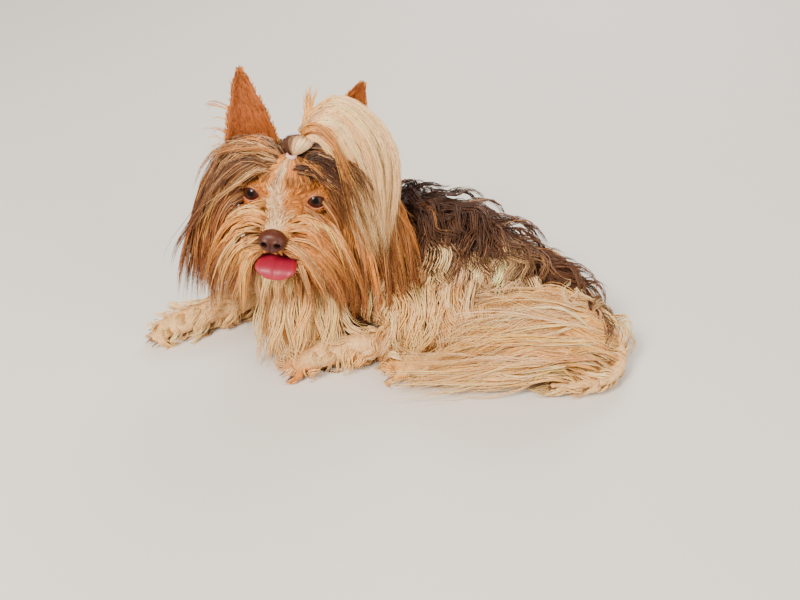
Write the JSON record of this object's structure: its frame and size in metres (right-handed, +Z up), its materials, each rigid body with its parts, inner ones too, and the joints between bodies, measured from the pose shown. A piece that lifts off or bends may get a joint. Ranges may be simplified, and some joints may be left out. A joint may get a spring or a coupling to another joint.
{
  "type": "yorkshire terrier",
  "caption": "Still life-size figure of a small long-coated terrier lying down, head turned to the viewer, with a tied topknot and a curled plumed tail.",
  "frame": {"origin": "on the floor, in the flat patch under the belly on which the body lies", "axes": "+Z up, +X from the chest towards the rump and tail, -Y towards the viewer whom the face looks at"},
  "size_m": [0.3428, 0.1666, 0.194],
  "materials": {
    "coat_brown": "soft wavy coat, satin",
    "coat_gold": "silky straight coat, satin",
    "coat_cream": "silky long coat, satin",
    "eye": "wet gloss",
    "nose_leather": "fine pebbled, satin",
    "tongue": "moist",
    "hair_band_pink": "matt",
    "hair_band_cream": "matt"
  },
  "bodies": {
    "root": {"torso": "coat_brown", "neck": "coat_brown", "head": "coat_gold", "ear_left": "coat_gold", "ear_right": "coat_gold", "topknot": "coat_gold", "ponytail": "coat_cream", "tail": "coat_cream", "foreleg_left": "coat_cream", "foreleg_right": "coat_cream", "hindleg_left": "coat_cream", "hindleg_right": "coat_cream", "eye_left": "eye", "eye_right": "eye", "nose": "nose_leather", "tongue": "tongue", "hair_band_front": "hair_band_pink", "hair_band_back": "hair_band_cream"}
  },
  "joints": []
}
